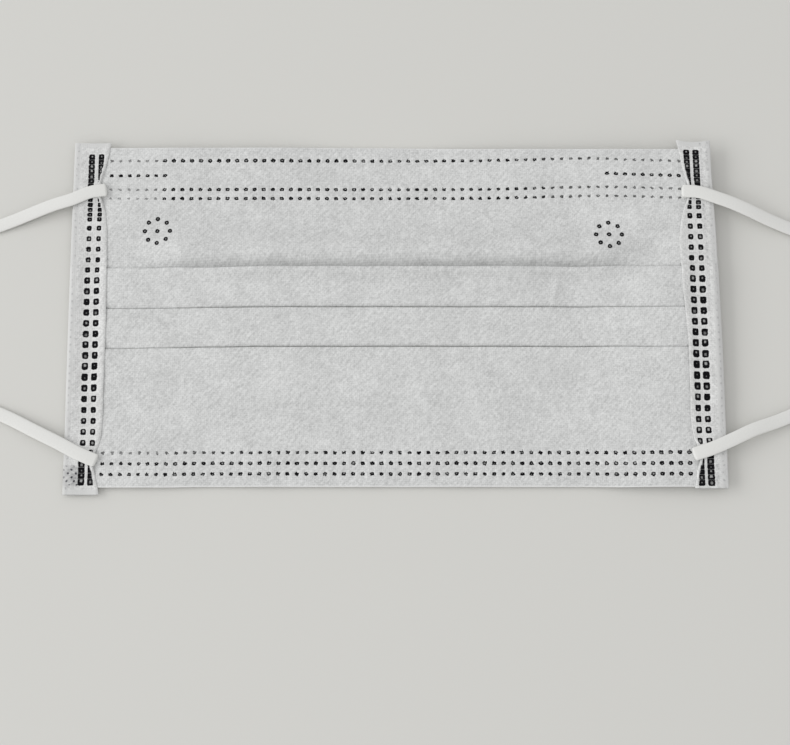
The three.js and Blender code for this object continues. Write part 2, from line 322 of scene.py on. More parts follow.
def sheet_faces(rows, columns, step):
    """Faces of a closed sheet. Its upper side is a full grid, its lower side keeps each `step`th
    column, and a rim of polygons joins them round the edge."""
    coarse = (columns - 1) // step + 1
    base = rows * columns
    faces = grid_faces(rows, columns, 0, False) + grid_faces(rows, coarse, base, True)
    for row, flip in ((0, False), (rows - 1, True)):
        for cell in range(coarse - 1):
            upper = [row * columns + cell * step + i for i in range(step + 1)]
            lower = [base + row * coarse + cell + 1, base + row * coarse + cell]
            ring = upper + lower
            faces.append(ring[::-1] if flip else ring)
    for column, under, flip in ((0, 0, False), (columns - 1, coarse - 1, True)):
        for row in range(rows - 1):
            ring = [row * columns + column, base + row * coarse + under,
                    base + (row + 1) * coarse + under, (row + 1) * columns + column]
            faces.append(ring[::-1] if flip else ring)
    return faces


def both_sides(values, step=1):
    """Values of a sheet's upper grid, given to the points of both its sides in one list. The
    lower side has each `step`th column."""
    size = values.shape[2:]
    return np.concatenate([values.reshape(-1, *size), values[:, ::step].reshape(-1, *size)])


def dash_press(x, cell, row):
    """How hard each place is pressed: 0 where the nearest row has no dash in that cell, and else
    the rollers' force at that x times the dash's own luck."""
    there = np.zeros((len(WELD_ROWS), len(cell)))
    for number, weld in enumerate(WELD_ROWS):
        for low, high in weld["there"]:
            there[number] = np.maximum(there[number], (cell >= low) & (cell <= high))
    draw = np.random.default_rng(11)
    luck = draw.uniform(0.94, 1.04, (len(WELD_ROWS), cell.max() - cell.min() + 1))
    pressed = there[row] * luck[row][:, cell - cell.min()]
    for number, weld in enumerate(WELD_ROWS):
        pressed[row == number] *= np.interp(x[row == number], *np.array(weld["press"]).T)
    return pressed


def body_mesh():
    """The folded sheet: the profile carried across the mask on columns that follow the weld
    dashes, six to a dash, offset by half the cloth's thickness to both sides, then laid over
    `lie`. The dashes' floors are pressed into the upper side. Returns it and its length flat."""
    profile = sheet_profile()
    normal = outward(profile)
    y, z = profile.T
    row, above = nearest_row(y)
    upwards = WELD_ROWS[::-1]
    first, pitch = (np.interp(y, [weld["y"] for weld in upwards], [weld[key] for weld in upwards])
                    for key in ("first", "pitch"))

    low_cell, high_cell = CELLS
    cells = np.arange(low_cell, high_cell + 1)
    inside = np.array([-0.5, -RIM, -PRESSED_HALF, 0, PRESSED_HALF, RIM])
    at = (cells[:, None] + inside).ravel()
    x = first[:, None] + pitch[:, None] * at
    left_count, right_count = EDGE_COLUMNS
    left = -SIDE_EDGE + np.linspace(0, 0.84, left_count) * (x[:, :1] + SIDE_EDGE)
    right = x[:, -1:] + np.linspace(0.15, 1, right_count) * (SIDE_EDGE - x[:, -1:])
    x = np.concatenate([left, x, right], 1)
    at = np.concatenate([np.full(left_count, low_cell - 1.0), at, np.full(right_count, high_cell + 1.6)])

    cell = np.floor(at + 0.5).astype(int)
    pressed = dash_press(x, cell, row)
    slack = 0.01
    pit = (np.abs(at - cell) < PRESSED_HALF + slack) & (np.abs(above) < PRESSED_HIGH + slack)[:, None]
    sink = DASH_DEPTH * pressed * pit

    spring = sum(share * np.exp(-((y - fold + 0.5) / 2.5) ** 2) for share, fold in zip(LIP, FOLDS))

    def laid(profile_y, profile_z, x):
        """Points of one side: the profile moved by `drift` and standing on `lie`. It is drawn in
        where the nose part stands high, springs up at the folds, and is pinched at the sides."""
        ground = lie(x, profile_y)
        drawn_in = 0.3 * (ground - 0.5) * ease((profile_y - 20) / 15)
        flat_y = profile_y + drift(x, np.broadcast_to(y[:, None], x.shape)) - drawn_in
        loose = 1 + spring[:, None] * ease((70 - np.abs(x)) / 16)
        ends = ease((np.abs(x) - 60) / 14) * ease((SIDE_EDGE - np.abs(x)) / 3)
        pinched = x - np.sign(x) * ends * (0.2 + 0.3 * ease(-profile_y / 20))
        return np.stack([pinched, flat_y, ground + puff(x) * loose * profile_z], -1)

    step = 3
    half = CLOTH / 2
    top = laid((y + half * normal[:, 0])[:, None] + 0 * x,
               (z + half * normal[:, 1])[:, None] - sink * normal[:, 1:], x)
    bottom = laid((y - half * normal[:, 0])[:, None] + 0 * x[:, ::step],
                  (z - half * normal[:, 1])[:, None] + 0 * x[:, ::step], x[:, ::step])
    rows, columns = x.shape

    along = travelled(profile)
    weld_u = np.broadcast_to(at, x.shape)
    weld_v = (row + np.clip(-above / 2, -CELL_HALF, CELL_HALF))[:, None] + 0 * x
    flat = np.stack([x, along[:, None] + 0 * x], -1)
    weld = np.stack([weld_u, weld_v], -1)

    points = np.concatenate([top.reshape(-1, 3), bottom.reshape(-1, 3)])
    body = fill_mesh("mask_cloth", points, sheet_faces(rows, columns, step),
                     maps={"cloth": both_sides(flat, step), "weld": both_sides(weld, step)},
                     values={"pressed": both_sides(pressed, step)})
    return body, along[-1]


class Value:
    """A number, colour or vector inside a material. Arithmetic on it adds Math nodes."""

    def __init__(self, finish, socket):
        self.finish, self.socket = finish, socket

    def math(self, operation, *terms):
        """The value of a Math node with these terms, each a value or a number."""
        return self.finish.node("Math", {"operation": operation}, dict(enumerate(terms)))

    def __add__(self, other):
        return self.math("ADD", self, other)

    def __sub__(self, other):
        return self.math("SUBTRACT", self, other)

    def __rsub__(self, other):
        return self.math("SUBTRACT", other, self)

    def __mul__(self, other):
        return self.math("MULTIPLY", self, other)

    def __truediv__(self, other):
        return self.math("DIVIDE", self, other)

    def __pow__(self, other):
        return self.math("POWER", self, other)

    def __abs__(self):
        return self.math("ABSOLUTE", self)

    def floor(self):
        return self.math("FLOOR", self)

    def sine(self):
        return self.math("SINE", self)

    def over(self, start, end):
        """0 up to the start, 1 from the end on, smooth between; the start may be the larger."""
        return self.finish.node("MapRange", {"interpolation_type": "SMOOTHSTEP"},
                                {"Value": self, "From Min": start, "From Max": end})

    __radd__, __rmul__ = __add__, __mul__


class Finish:
    """A material while it is made: a Principled shader, and the nodes that feed it."""

    def __init__(self, name, roughness, shine):
        self.material = bpy.data.materials.new(name)
        self.material.use_nodes = True
        self.tree = self.material.node_tree
        self.shader = self.tree.nodes["Principled BSDF"]
        self.shader.inputs["Roughness"].default_value = roughness
        self.shader.inputs["Specular IOR Level"].default_value = shine

    def node(self, kind, settings=None, inputs=None, output=None):
        """Adds one node, sets its settings, then gives its sockets their values or links.
        Sockets go by name or number. Returns one output, the first by default."""
        made = self.tree.nodes.new("ShaderNode" + kind)
        for name, setting in (settings or {}).items():
            setattr(made, name, setting)
        for key, given in (inputs or {}).items():
            socket = made.inputs[key] if isinstance(key, int) else next(
                one for one in made.inputs if one.name == key and one.enabled)
            self.give(socket, given)
        found = [one for one in made.outputs if one.enabled and output in (None, one.name)]
        return Value(self, found[0])

    def give(self, socket, given):
        """Links a value to a socket, or writes a number or colour into it."""
        if isinstance(given, Value):
            self.tree.links.new(given.socket, socket)
        else:
            socket.default_value = (*given, 1) if socket.type == "RGBA" else given

    def set(self, name, given):
        """Feeds one of the shader's own sockets."""
        self.give(self.shader.inputs[name], given)

    def bump(self, height, strength, distance):
        """Raises the surface by the height, up to a distance in metres."""
        inputs = {"Strength": strength, "Distance": distance, "Height": height}
        self.set("Normal", self.node("Bump", {}, inputs))

    def mix(self, factor, a, b):
        """Colour a where the factor is 0 and b where it is 1."""
        return self.node("Mix", {"data_type": "RGBA"}, {"Factor": factor, "A": a, "B": b})

    def map(self, name):
        """A piece's UV map as a vector."""
        return self.node("UVMap", {"uv_map": name})

    def value(self, name):
        """A piece's single values, given point by point."""
        return self.node("Attribute", {"attribute_name": name}, output="Fac")

    def split(self, vector):
        """A vector's three numbers."""
        x = self.node("SeparateXYZ", {}, {"Vector": vector}, "X")
        return [Value(self, output) for output in x.socket.node.outputs]

    def noise(self, vector, size, detail=2.0, rough=0.5):
        """Cloudy noise about 0, mostly within 0.3, with patches of the given size."""
        made = self.node("TexNoise", {}, {"Vector": vector, "Scale": 1 / size, "Detail": detail,
                                          "Roughness": rough}, "Fac")
        return made - 0.5


MASK_TONE = (0.59, 0.595, 0.59)
HEM_TONE_AND_HIGHLIGHT = (0.76, 0.76, 0.755)  # paler hems: partly the raw edges' own tone, partly a painted highlight on the rolled edge
RIM_HIGHLIGHT_TONE = (0.85, 0.85, 0.84)   # painted highlight on the cloth pushed up round a weld
INK = (0.004, 0.004, 0.005)     # the carbon cloth, where a weld lets it show
BOND_WAVE = 2 * math.pi / 0.74  # rows of bond points are 0.74 mm apart
MARKS = [(-64.7, 23.65), (58.4, 21.65)]     # x and y of the two plain marks
RING = 3.5                      # radius of a mark's ring of dots
DOT_EDGE = (0.72, 0.55)         # between these distances from its middle a dot darkens,
DOT_HOLE = (0.25, 0.1)          # and between these its worn middle pales

# A dash's edge in halves of its size, its raggedness, its squareness, and its worn middle's edge.
DASH_LOOK = dict(reach=1.04, ragged=0.8, power=2.6, hole=0.55)


def weld_marks(finish, grain, reach, ragged, power, hole):
    """Masks of the pressed marks, from the weld map, where each mark sits on whole numbers and
    reaches a quarter to each side. The distance from its middle is (a^power + b^power)^(1/power)
    of the distances along both directions, with noise that is stronger on weak marks. Its worn
    middle lies off centre by chance. Returns how dark each point is and the mask of the painted
    highlight on its rim."""
    along, across, _ = finish.split(finish.map("weld"))
    cell_u, cell_v = (along + 0.5).floor(), (across + 0.5).floor()
    a, b = abs(along - cell_u) / RIM, abs(across - cell_v) / RIM
    own = finish.node("CombineXYZ", {}, {0: cell_u, 1: cell_v})
    luck = finish.node("TexWhiteNoise", {"noise_dimensions": "3D"}, {"Vector": own}, "Value")
    elsewhere = finish.node("VectorMath", {"operation": "ADD"}, {0: own, 1: (7.3, 3.1, 5.7)})
    other = finish.node("TexWhiteNoise", {"noise_dimensions": "3D"}, {"Vector": elsewhere}, "Value")
    pressed = finish.value("pressed")
    weak = 1 - pressed
    rough = grain * (weak * 2 + ragged) + weak * 0.65
    away = (a ** power + b ** power) ** (1 / power) + rough
    shifted = abs((across - cell_v) / RIM + (other - 0.5) * 0.7)
    middle = (a ** power + shifted ** power) ** (1 / power) + rough + luck * 0.4
    mark = away.over(reach + 0.08, reach - 0.1)
    core = middle.over(hole + 0.15, hole - 0.2)
    dark = mark * (1 - core * (0.2 + other * 0.42)) * pressed.over(0.1, 0.72)
    pale = away.over(reach + 0.6, reach + 0.1) * (1 - mark) * pressed
    return dark, pale


def cloth_finish(name, tone, look):
    """Spun-bonded cloth: rows of bond points and fibres in two slanted directions, clouds where
    the dark ply shows through, weld marks of the given look with a painted highlight round them,
    and a faint grain in colour and bump. Returns the finish, its colour with that painted
    highlight but without the marks' darkness, the marks' darkness and the noise on their edges."""
    finish = Finish(name, 0.85, 0.08)
    place = finish.map("cloth")
    slant = finish.node("Mapping", {}, {"Vector": place, "Rotation": (0, 0, math.radians(47))})
    fibres = finish.node("Mapping", {}, {"Vector": slant, "Scale": (0.35, 1.1, 1)})
    counter = finish.node("Mapping", {}, {"Vector": slant, "Scale": (1.1, 0.4, 1)})
    streaks = finish.noise(fibres, 0.8, 3, 0.6)
    crossing = finish.noise(counter, 0.9, 3, 0.6)
    clouds = finish.noise(place, 9, 4, 0.6)
    grain = finish.noise(place, 0.55, 2, 0.5)
    along, across, _ = finish.split(slant)
    bonds = (along * BOND_WAVE + streaks * 3).sine() * (across * BOND_WAVE + crossing * 3).sine()
    bright = clouds * 0.8 + streaks * 1.5 + crossing * 0.8 + grain * 1.4 + bonds * 0.16
    dark_tone = tuple(channel * 0.8 for channel in tone)
    light_tone = tuple(min(channel * 1.2, 1) for channel in tone)
    colour = finish.mix(bright + 0.5, dark_tone, light_tone)
    ragged_edge = finish.noise(place, 0.45, 1, 0.5)
    dark, pale = weld_marks(finish, ragged_edge, **look)
    # Painted highlight round each weld mark, where its raised rim would catch the light.
    colour = finish.mix(pale * 0.25, colour, RIM_HIGHLIGHT_TONE)
    height = streaks * 0.5 + crossing * 0.3 + grain * 0.4 + bonds * 0.15 - dark * 0.6
    finish.bump(height, 0.4, 0.0002)
    return finish, colour, dark, ragged_edge


def ring_mark(finish, ragged_edge):
    """Darkness of the plain mark on both sides of the nose part: one dot within a ring of eight.
    The ring's dots come from one, by turning each eighth of the circle onto the first."""
    x, down, _ = finish.split(finish.map("cloth"))
    right = x.over(-1, 1)
    off_x = x - (right * (MARKS[1][0] - MARKS[0][0]) + MARKS[0][0])
    off_y = down - (right * (MARKS[0][1] - MARKS[1][1]) + (NOSE_HEM - MARKS[0][1]))
    away = (off_x ** 2 + off_y ** 2) ** 0.5
    eighths = off_y.math("ARCTAN2", off_y, off_x) * (4 / math.pi)
    turned = (eighths - (eighths + 0.5).floor()) * (math.pi / 4)
    beside = away * turned.math("COSINE", turned) - RING
    beyond = away * turned.sine()
    dot = (beside ** 2 + beyond ** 2) ** 0.5
    nearest = dot.math("MINIMUM", dot, away) + ragged_edge * 0.35
    return nearest.over(*DOT_EDGE) * (1 - nearest.over(*DOT_HOLE) * 0.35)


body, sheet_length = body_mesh()
mask_finish, mask_colour, dashes, ragged_edge = cloth_finish("mask_cloth", MASK_TONE, DASH_LOOK)
marked = dashes.math("MAXIMUM", dashes, ring_mark(mask_finish, ragged_edge))
_, from_nose, _ = mask_finish.split(mask_finish.map("cloth"))
# Paler bands along the hems, strongest at the chin edge: partly the raw edges' own tone, partly a
# painted highlight on the rolled edge.
hem_tone_and_highlight = from_nose.over(0.4, 0.1) * 0.3 + from_nose.over(sheet_length - 0.45, sheet_length - 0.1) * 0.75
mask_colour = mask_finish.mix(hem_tone_and_highlight, mask_colour, HEM_TONE_AND_HIGHLIGHT)
mask_finish.set("Base Color", mask_finish.mix(marked, mask_colour, INK))

body.data.materials.append(mask_finish.material)
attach(body, "root")
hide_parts("mask_body")

# ---- side bindings --------------------------------------------------------------------------------
# A strip of thin non-woven cloth is folded round each side of the mask, over the pleats' ends and
# the ear loops' tails, and welded through all layers in two columns of squares. The squares
# come close together where the loops are held, and the loops pull the strip's edge outwards.

MARGIN = 1.0                    # of the strip's inner edge, which curls over the squares
CURL = 0.35                     # how high it curls where the loops pull it out
SQUARE_DEPTH = 0.06             # how deep the squares are pressed
SQUARE_PRESSED = 0.4            # half of a square's pressed floor, as a share of its size
FOLD_REACH = 0.28               # how far the round of the outer fold reaches in
BOTTOM_X = (86.2, 85, 83.5, 82, 80.5, 79.1)     # x of the bottom flap's columns, from the fold in
HOLLOW_WIDTH = 9.5              # of the hollow in the nose end, from the inner edge to the fold
TAIL_PRESSED = 0.45             # how far the elastic's tail lifts the strip
TAIL_END = 5.8                  # from a loop's tip to the tail's end
RAMP = 0.8                      # length over which the strip climbs onto something
SMALL, JOINED = 0.88, 1.25      # heights of the small squares and of the joined ones, in pitches

# Lines along and across each square: its rims, its floor's edges and its middle.
SQUARE_LINES = np.array([-0.5, -0.33, 0, 0.33, 0.5])

# Each side's strip, where x is how far out a place lies:
#   edge, outer     its inner and its outer edge, as (y, x)
#   columns         the two columns of squares, as (y, x, x)
#   squares, ends   y of the first and last widely spaced squares, and of the columns' ends
#   pitches         the squares' pitch at the chin end, between, and at the nose end
#   square          a square's least width
#   cut             how much of the inner edge hides the squares
#   short           how far its chin end falls short
#   raised          how much its inner edge stands up
#   hollow          how hollow its nose end is cut
#   stain           how stained its chin corner is
STRIPS = {
    -1: dict(name="left",
             edge=[(49.2, 78.05), (44.1, 78.9), (41.3, 79.45), (39.3, 80.0), (37.4, 80.5), (35.5, 80.7),
                   (33, 80.35), (31.2, 79.6), (29, 79.0), (23.8, 78.4), (10, 77.85), (0, 77.6),
                   (-18, 77.5), (-29.2, 77.5), (-33.6, 77.75), (-36.1, 78.35), (-37.9, 79.05),
                   (-41, 79.65), (-42.8, 79.2), (-44.7, 78.75), (-48.2, 77.9), (-49.2, 77.7)],
             outer=[(-49.2, 87.35), (-29, 87.55), (-10, 87.8), (20, 88.1), (49.2, 88.2)],
             columns=[(46, 80.72, 83.3), (30, 80.55, 83.2), (22, 80.6, 83.22), (8, 80.55, 83.15),
                      (0, 80.42, 83.02), (-16, 80.18, 82.75), (-28, 80.02, 82.55),
                      (-37, 79.95, 82.45), (-48, 80.1, 82.55)],
             squares=(-35.3, 24.25), ends=(-46.9, 45.5), pitches=(1.54, 2.98, 1.38), square=1.2,
             cut=0.8, short=0, raised=0.1, hollow=0.1, stain=0.9),
    1: dict(name="right",
            edge=[(49.2, 77.5), (46.3, 78.1), (42.6, 78.7), (38.5, 79.6), (36.5, 80.1), (34, 80.4),
                  (31.3, 79.7), (29.1, 78.8), (26, 78.1), (23, 77.6), (20, 77.4), (6, 77.75),
                  (-1.5, 78.4), (-9, 78.7), (-28, 78.55), (-31.5, 78.75), (-34, 79.2), (-36, 79.9),
                  (-39.4, 80.8), (-41.4, 80.2), (-43.1, 79.65), (-45.1, 79.4), (-48, 78.9), (-49, 78.7)],
            outer=[(-49.2, 87.85), (-29, 87.85), (-9, 87.95), (10, 87.75), (23, 87.5), (40, 87.0),
                   (49.2, 86.95)],
            columns=[(46, 80.25, 82.8), (22, 80.6, 83.15), (10, 80.62, 83.18), (-5, 80.73, 83.25),
                     (-28, 80.65, 83.1), (-48, 80.8, 83.4)],
            squares=(-35.05, 27.3), ends=(-46.9, 45.8), pitches=(1.4, 2.97, 1.305), square=1.33,
            cut=0.6, short=0.35, raised=0, hollow=0.55, stain=0.1),
}

# The tip of each elastic where it turns over the strip's inner edge: how far out, y, and the
# direction in which it leaves, in degrees from straight out.
TURNS = {
    -1: {"nose": (78.7, 35.15, -9), "chin": (78.5, -40.35, 22)},
    1: {"nose": (78.4, 34.2, -4), "chin": (78.7, -38.8, 17)},
}
BAND_WIDTH = 3.6                # of the flat elastic


def square_rows(strip):
    """The middle y, height and width of each weld square from the nose end down: widely spaced
    ones between two y, larger over the pleats, small close ones beside them, and close ones that
    run into one bar at both ends. Also how far each may reach: just under half the gap."""
    first, last = strip["squares"]
    low_end, high_end = strip["ends"]
    chin_pitch, pitch, nose_pitch = strip["pitches"]
    wide = np.arange(round((last - first) / pitch) + 1) * pitch + first
    above = np.arange(wide[-1] + pitch * 0.85, high_end, nose_pitch)
    below = np.arange(first - pitch * 0.9, low_end, -chin_pitch)
    middles = np.concatenate([above[::-1], wide[::-1], below])
    pleated = ease((middles + 26) / 8) * ease((14 - middles) / 5)
    chin = ease(-middles / 20)
    heights = strip["square"] + 0.12 + 0.4 * pleated + 0.22 * chin
    heights[middles > wide[-1] + 1] = SMALL * nose_pitch
    heights[middles > 33] = JOINED * nose_pitch
    heights[middles < first - 1] = JOINED * chin_pitch
    widths = strip["square"] + 0.3 * pleated + 0.12 * chin + 0.33 * ease((np.abs(middles) - 35) / 2)
    gaps = -np.diff(middles)
    nearest = np.minimum(np.append(gaps, gaps[-1]), np.insert(gaps, 0, gaps[0]))
    return middles, heights, widths, 0.485 * nearest


def side_height(x, y):
    """Thickness of what a strip holds at each place: one layer, or the pleats' three, with the
    strip's ramps beside them."""
    chin_ramp = ease((y - (FOLDS[-1] - LAST_PANEL - LAST_FALL)) / LAST_FALL)
    nose_ramp = ease((FOLDS[0] + RAMP - y) / RAMP)
    return puff(x) * (CLOTH + 2 * LAYER * chin_ramp * nose_ramp)


def tail_bump(x, y, turns):
    """How far the elastic's tails lift the strip: full over the tail, easing to nothing 1.9 mm
    beside it and 2.4 mm past its end."""
    lift = 0 * x
    for out, turn_y, lean in turns.values():
        along, off = along_and_off(x - out, y - turn_y, lean)
        beside = ease((BAND_WIDTH / 2 + 1.9 - np.abs(off)) / 2.1)
        lift = np.maximum(lift, beside * ease((8.2 - along) / 2.2))
    return TAIL_PRESSED * lift


def strip_height(side, x, y, outer):
    """Underside of a strip's top flap: over what it holds, and a little lower where it turns into
    the outer fold."""
    held = side_height(np.minimum(x, SIDE_EDGE), y) + TOUCH
    held = held * (1 - 0.35 * ease((x - outer + 0.9) / 0.62))
    return side_lift(side, y) + STRIP + TOUCH + held + tail_bump(x, y, TURNS[side])


def strip_stains(strip, x, y, second, outer):
    """How stained each place is: the chin corner outside the outer squares, about half as much
    near the fold, and faint rows of points beside those squares and beside the fold."""
    corner = strip["stain"] * ease((x - 82.8) / 0.6) * (1 - 0.45 * ease((x - 84.5) / 2))
    corner = corner * (ease((-40.6 - y) / 2) * ease((y + 47.3) / 0.8))
    by_fold = ease(1 - np.abs(x - outer + 1.1) / 0.6)
    by_squares = ease(1 - np.abs(x - second - 1.4) / 0.7)
    return corner + 0.3 * (by_fold + by_squares)


def strip_rows(low, high, middles, heights, room):
    """Stations of y from the nose end down: five lines over each square, one halfway between
    widely spaced squares, and five more out to each end of the strip."""
    reach = np.clip(heights[:, None] * SQUARE_LINES, -room[:, None], room[:, None])
    rows = (middles[:, None] + reach).ravel()
    halfway = ((middles[:-1] + middles[1:]) / 2)[middles[:-1] - middles[1:] > 2]
    nose_end = np.linspace(high, rows.max(), 5, endpoint=False)
    chin_end = np.linspace(low, rows.min(), 5, endpoint=False)
    return np.sort(np.concatenate([rows, halfway, nose_end, chin_end]))[::-1, None]


def flap_level(side, strip, x, y, inner, first, outer):
    """Height of the top flap's middle surface before the squares are pressed into it. Its margin
    is curled up by half a sine wave where the loops pull it outwards, and its inner side stands
    up in a straight slope, both only where no tail lies beneath. Fine ripples are added."""
    curl = CURL * ease((inner - 78.7) / 1.2) * np.sin(np.pi * np.clip((x - inner) / MARGIN, 0, 1))
    raised = strip["raised"] * np.clip((first - 0.75 - x) / 1.5, 0, 1.5)
    free = 1 - tail_bump(x, y, TURNS[side]) / TAIL_PRESSED
    level = strip_height(side, x, y, outer) + STRIP / 2 + (curl + raised) * free
    return level + 0.04 * ripples(x, y, 7, 20 + side)


def binding_mesh(side, strip):
    """One strip: its middle surface is the top flap from inner edge to outer fold, the fold, and
    the bottom flap, on rows that follow the weld squares. Both faces lie half its thickness off.
    Returns the strip, its width unfolded and its length."""
    low, high = (np.array(corner)[1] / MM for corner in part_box("side_binding_" + strip["name"]))
    low = low + strip["short"]
    middles, heights, widths, room = square_rows(strip)
    y = strip_rows(low, high, middles, heights, room)

    inner = np.interp(y, *np.array(strip["edge"])[::-1].T)
    column_y, first, second = np.array(strip["columns"])[::-1].T
    first, second = np.interp(y, column_y, first), np.interp(y, column_y, second)
    outer = np.interp(y, *np.array(strip["outer"]).T)
    width = np.interp(y, middles[::-1], widths[::-1])
    margin_x = inner + [0, 0.2, 0.45, MARGIN]
    fold_side_x = outer - [2.9, 2.2, 1.7, 1.3, 0.9, 0.55, FOLD_REACH]
    middle = (first + second) / 2
    marks = width * SQUARE_LINES
    x = np.concatenate([margin_x, first + marks, middle, second + marks, fold_side_x], 1)
    # Where the inner edge lies over the squares, their columns crowd just outside it.
    least = inner + np.linspace(0, 1.5, x.shape[1])
    x = np.maximum(x, np.minimum(least, x[:, -1:]))

    # The inner edge thins out and comes down onto what lies under it.
    flap = flap_level(side, strip, x, y + 0 * x, inner, first, outer)
    thin = 1 - 0.85 * ease((inner + 0.4 - x) / 0.4)
    flap = flap - (1 - thin) * (STRIP / 2 + 0.03)

    # The squares' floors are pressed in, beyond the curled margin.
    squared = np.minimum(np.abs(x - first), np.abs(x - second)) < SQUARE_PRESSED * width
    near = np.abs(y - middles).argmin(1)
    off = (y - middles[near, None]) / heights[near, None]
    clear = ease((x - inner - MARGIN + 0.3) / 0.3)
    flap = flap - SQUARE_DEPTH * squared * (np.abs(off) < SQUARE_PRESSED) * clear

    fold_low = side_lift(side, y) + STRIP / 2
    radius = (flap[:, -1:] - fold_low) / 2
    turn = np.radians(np.linspace(90, -90, 7)[1:])
    fold_x = outer - FOLD_REACH + np.cos(turn) * (FOLD_REACH - STRIP / 2)
    back_x = BOTTOM_X + 0 * y
    x = np.concatenate([x, fold_x, back_x], 1)
    z = np.concatenate([flap, fold_low + radius + radius * np.sin(turn), fold_low + 0 * back_x], 1)

    section = np.stack([x, z], -1)
    normal = -outward(section)
    hollow = strip["hollow"] * np.sin(np.pi * (x - SEAT_HALF) / HOLLOW_WIDTH) * ease((y - 46.2) / 3)
    half = np.pad(thin, ((0, 0), (0, x.shape[1] - thin.shape[1])), constant_values=1) * STRIP / 2

    def face(offset):
        """The upper (1) or under (-1) face: the section moved along its normals, mirrored for the
        left strip, and cut hollow at the nose end."""
        moved = section + offset * half[..., None] * normal
        return np.stack([side * moved[..., 0], y - hollow, moved[..., 1]], -1)

    in_first = np.clip((x - first) / (2 * width), -0.5, CELL_HALF)
    in_second = 1 + np.clip((x - second) / (2 * width), -CELL_HALF, 0.5)
    across_weld = np.where(x < middle, in_first, in_second)
    along_weld = near[:, None] - np.clip(off / 2, -CELL_HALF, CELL_HALF) + 0 * x
    travel = travelled(section)

    # The margin hides the squares, so nothing is pressed before its cut.
    maps = {
        "cloth": np.stack([travel, y + 0 * x], -1),
        "weld": np.stack([across_weld, along_weld], -1),
    }
    values = {
        "pressed": np.clip((x - inner - strip["cut"]) / 0.2 + 0.5, 0, 1),
        "backed": ease((SIDE_EDGE + 0.2 - x) / 0.4) * ease((NOSE_HEM + 0.2 - np.abs(y)) / 0.4),
        "stained": strip_stains(strip, x, y, second, outer),
    }

    points = np.concatenate([face(1).reshape(-1, 3), face(-1).reshape(-1, 3)])
    faces = [one[::side] for one in sheet_faces(*x.shape, 1)]
    thing = fill_mesh("side_strip_" + strip["name"], points, faces,
                      maps={title: both_sides(uv) for title, uv in maps.items()},
                      values={title: both_sides(value) for title, value in values.items()})
    return thing, travel[:, -1].mean(), high - low


STRIP_TONE = (0.615, 0.617, 0.61)
BARE_TONE = (0.6, 0.602, 0.595)     # where none of the mask's cloth lies in the strip
STAIN = (0.06, 0.06, 0.07)
SPECK_WAVE = 2 * math.pi / 2.0  # stained bond points are 2 mm apart, in staggered rows
SQUARE_LOOK = dict(reach=1.1, ragged=0.35, power=3.7, hole=0.46)    # as for the dashes
strip_finish, strip_colour, squares, _ = cloth_finish("binding_cloth", STRIP_TONE, SQUARE_LOOK)
place = strip_finish.map("cloth")
specks_along, specks_across, _ = strip_finish.split(place)
specks = (specks_along * SPECK_WAVE).sine() * (specks_across * SPECK_WAVE).sine()
blots = strip_finish.noise(place, 1.3, 2, 0.5)
stained = strip_finish.value("stained")
specks = (specks + blots * 0.9).over(0.45, 0.8) * 0.85 + blots * 1.3 + 0.33
strip_colour = strip_finish.mix(strip_finish.value("backed"), BARE_TONE, strip_colour)
strip_colour = strip_finish.mix(specks * stained, strip_colour, STAIN)
strip_finish.set("Base Color", strip_finish.mix(squares, strip_colour, INK))

for side, strip in STRIPS.items():
    binding, wrap, strip_length = binding_mesh(side, strip)
    binding.data.materials.append(strip_finish.material)
    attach(binding, "root")
    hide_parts("side_binding_" + strip["name"])
    wrap * MM
    strip_length * MM

# ---- ear loops ------------------------------------------------------------------------------------
# Each ear loop is one soft flat elastic band, knitted from a stretch core and a white yarn. Both its
# ends are welded under a strip. There the band turns back over the strip's edge, springs outwards
# and comes down to the floor in one open loop.

BAND_FREE = 0.75                # thickness of the band where nothing presses it
BAND_CREASED = 0.6              # its thickness in the crease where it turns back
FLOOR_TOUCH = 0.04              # left between the band and the floor
CORNER = 0.36                   # share of its width that the band loses at a fold's rounded tip
TIP = 6                         # stations of the line from a fold's tip to either end of its turn
STATION = 1.6                   # between stations along the free band
ROUND = 28                      # points round the band's section
RUN_LEVEL, REST_LEVEL = 6.4, 0.85   # heights, in the routes, of a band on a strip and on the floor

# Each loop's line from strip to strip: x outwards, y, and height between those two levels.
ROUTES = {
    -1: [(88.3, 32.25, 6.3), (92.9, 30.95, 5.4), (97.5, 29.3, 4.2), (103.5, 27.0, 2.5),
         (110.5, 24.5, 1.1), (118.5, 21.8, 0.85), (127, 19.4, 0.85), (135.6, 16.8, 0.85),
         (143.4, 12.9, 0.85), (148.8, 6.6, 0.85), (150.6, -1.4, 0.85), (148.4, -9.2, 0.85),
         (142.6, -14.8, 0.85), (134.6, -17.9, 0.85), (126, -20.1, 0.85), (117.6, -22.6, 0.9),
         (109.6, -25.5, 1.3), (102, -28.75, 2.8), (95.6, -32.05, 4.8), (89.6, -35.05, 6.1)],
    1: [(88.0, 32.2, 6.3), (92.2, 30.75, 5.85), (96.8, 28.9, 5.0), (102.6, 26.5, 3.3),
        (109.6, 24.0, 1.5), (117.6, 21.3, 0.85), (126, 18.8, 0.85), (134.6, 16.1, 0.85),
        (142.4, 12.0, 0.85), (147.9, 5.6, 0.85), (149.8, -2.4, 0.85), (147.6, -10.2, 0.85),
        (141.8, -15.8, 0.85), (133.9, -19, 0.85), (125.4, -21.3, 0.85), (117, -23.7, 0.9),
        (109, -26.5, 1.8), (101.6, -29.6, 3.4), (95.1, -32.0, 5.2), (89.2, -34.8, 6.2)],
}


